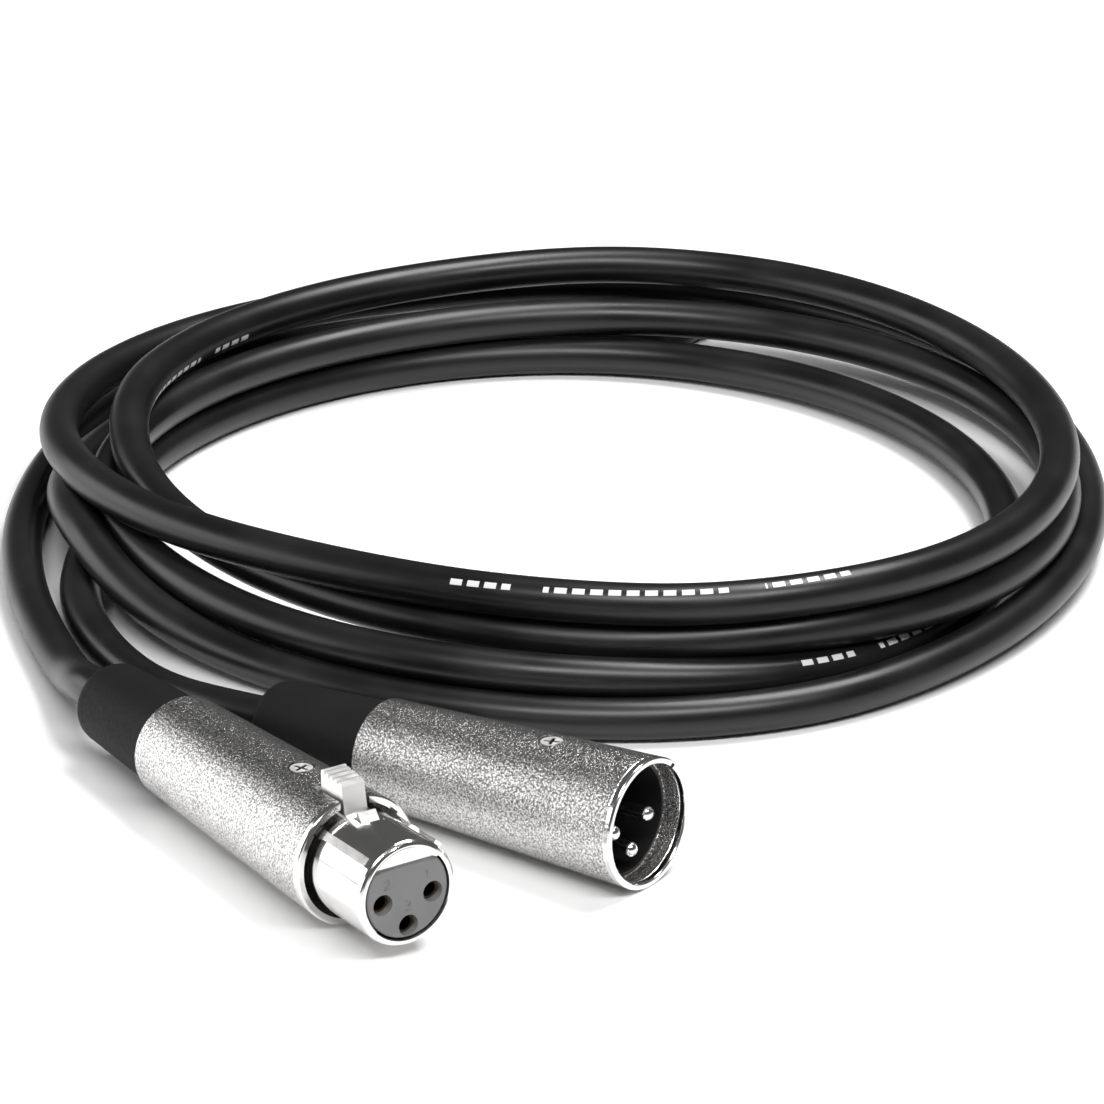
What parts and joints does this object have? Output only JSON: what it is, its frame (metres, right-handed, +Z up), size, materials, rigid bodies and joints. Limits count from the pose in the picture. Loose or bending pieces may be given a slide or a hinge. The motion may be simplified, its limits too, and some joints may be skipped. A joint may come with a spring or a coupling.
{
  "type": "xlr cable coil",
  "caption": "Coiled black microphone cable lying flat, with a latching socket connector and a pin connector in satin nickel barrels.",
  "frame": {"origin": "on the surface the cable lies on, under the middle of the whole outline", "axes": "+Z up; +Y from the connectors across the coil to its back; +X to the right when looking along +Y"},
  "size_m": [0.182, 0.2812, 0.0219],
  "materials": {
    "nickel_satin": "satin nickel plate with a coarse, sparkling blasted grain",
    "nickel_bright": "bright nickel plate, smooth",
    "spring_steel": "plain steel",
    "contact_gold": "gold-plated brass, inside the insert",
    "contact_silver": "silver-plated, bright",
    "shield_copper": "twisted bare copper braid",
    "grey_plastic": "mid-grey moulded insulator",
    "black_plastic": "black moulded insulator",
    "boot_rubber": "matte charcoal moulded boot",
    "cable_jacket": "satin black flexible jacket with faint white dashes",
    "wire_red": "red insulation",
    "wire_white": "white insulation"
  },
  "bodies": {
    "cable_and_connectors": {"female_barrel": "nickel_satin", "female_nose_shell": "nickel_bright", "female_insert": "grey_plastic", "female_contact_1": "contact_gold", "female_contact_2": "contact_gold", "female_contact_3": "contact_gold", "latch_pin": "nickel_bright", "latch_spring": "spring_steel", "female_retaining_screw": "nickel_bright", "female_ground_lug": "spring_steel", "female_clamp": "black_plastic", "female_clamp_screws": "spring_steel", "female_boot": "boot_rubber", "female_cable_end": "cable_jacket", "female_wire_shield": "shield_copper", "female_wire_red": "wire_red", "female_wire_white": "wire_white", "male_barrel": "nickel_satin", "male_insert": "black_plastic", "male_pin_1": "contact_silver", "male_pin_2": "contact_silver", "male_pin_3": "contact_silver", "male_retaining_screw": "nickel_bright", "male_ground_lug": "spring_steel", "male_clamp": "black_plastic", "male_clamp_screws": "spring_steel", "male_boot": "boot_rubber", "male_cable_end": "cable_jacket", "male_wire_shield": "shield_copper", "male_wire_red": "wire_red", "male_wire_white": "wire_white", "cable_coil": "cable_jacket", "female_tail": "cable_jacket", "male_tail": "cable_jacket", "rear_bight": "cable_jacket"},
    "latch": {"latch_lever": "nickel_bright"}
  },
  "joints": [
    {"name": "latch_press", "type": "hinge", "parent": "cable_and_connectors", "child": "latch", "pos_m": [-0.03282, -0.1168, 0.01593], "axis": [0.831, 0.5563, 0], "range_deg": [0, 5], "stiffness_Nm_per_rad": 0.02, "springref_deg": -2.86, "deforming": ["latch_spring"]}
  ]
}
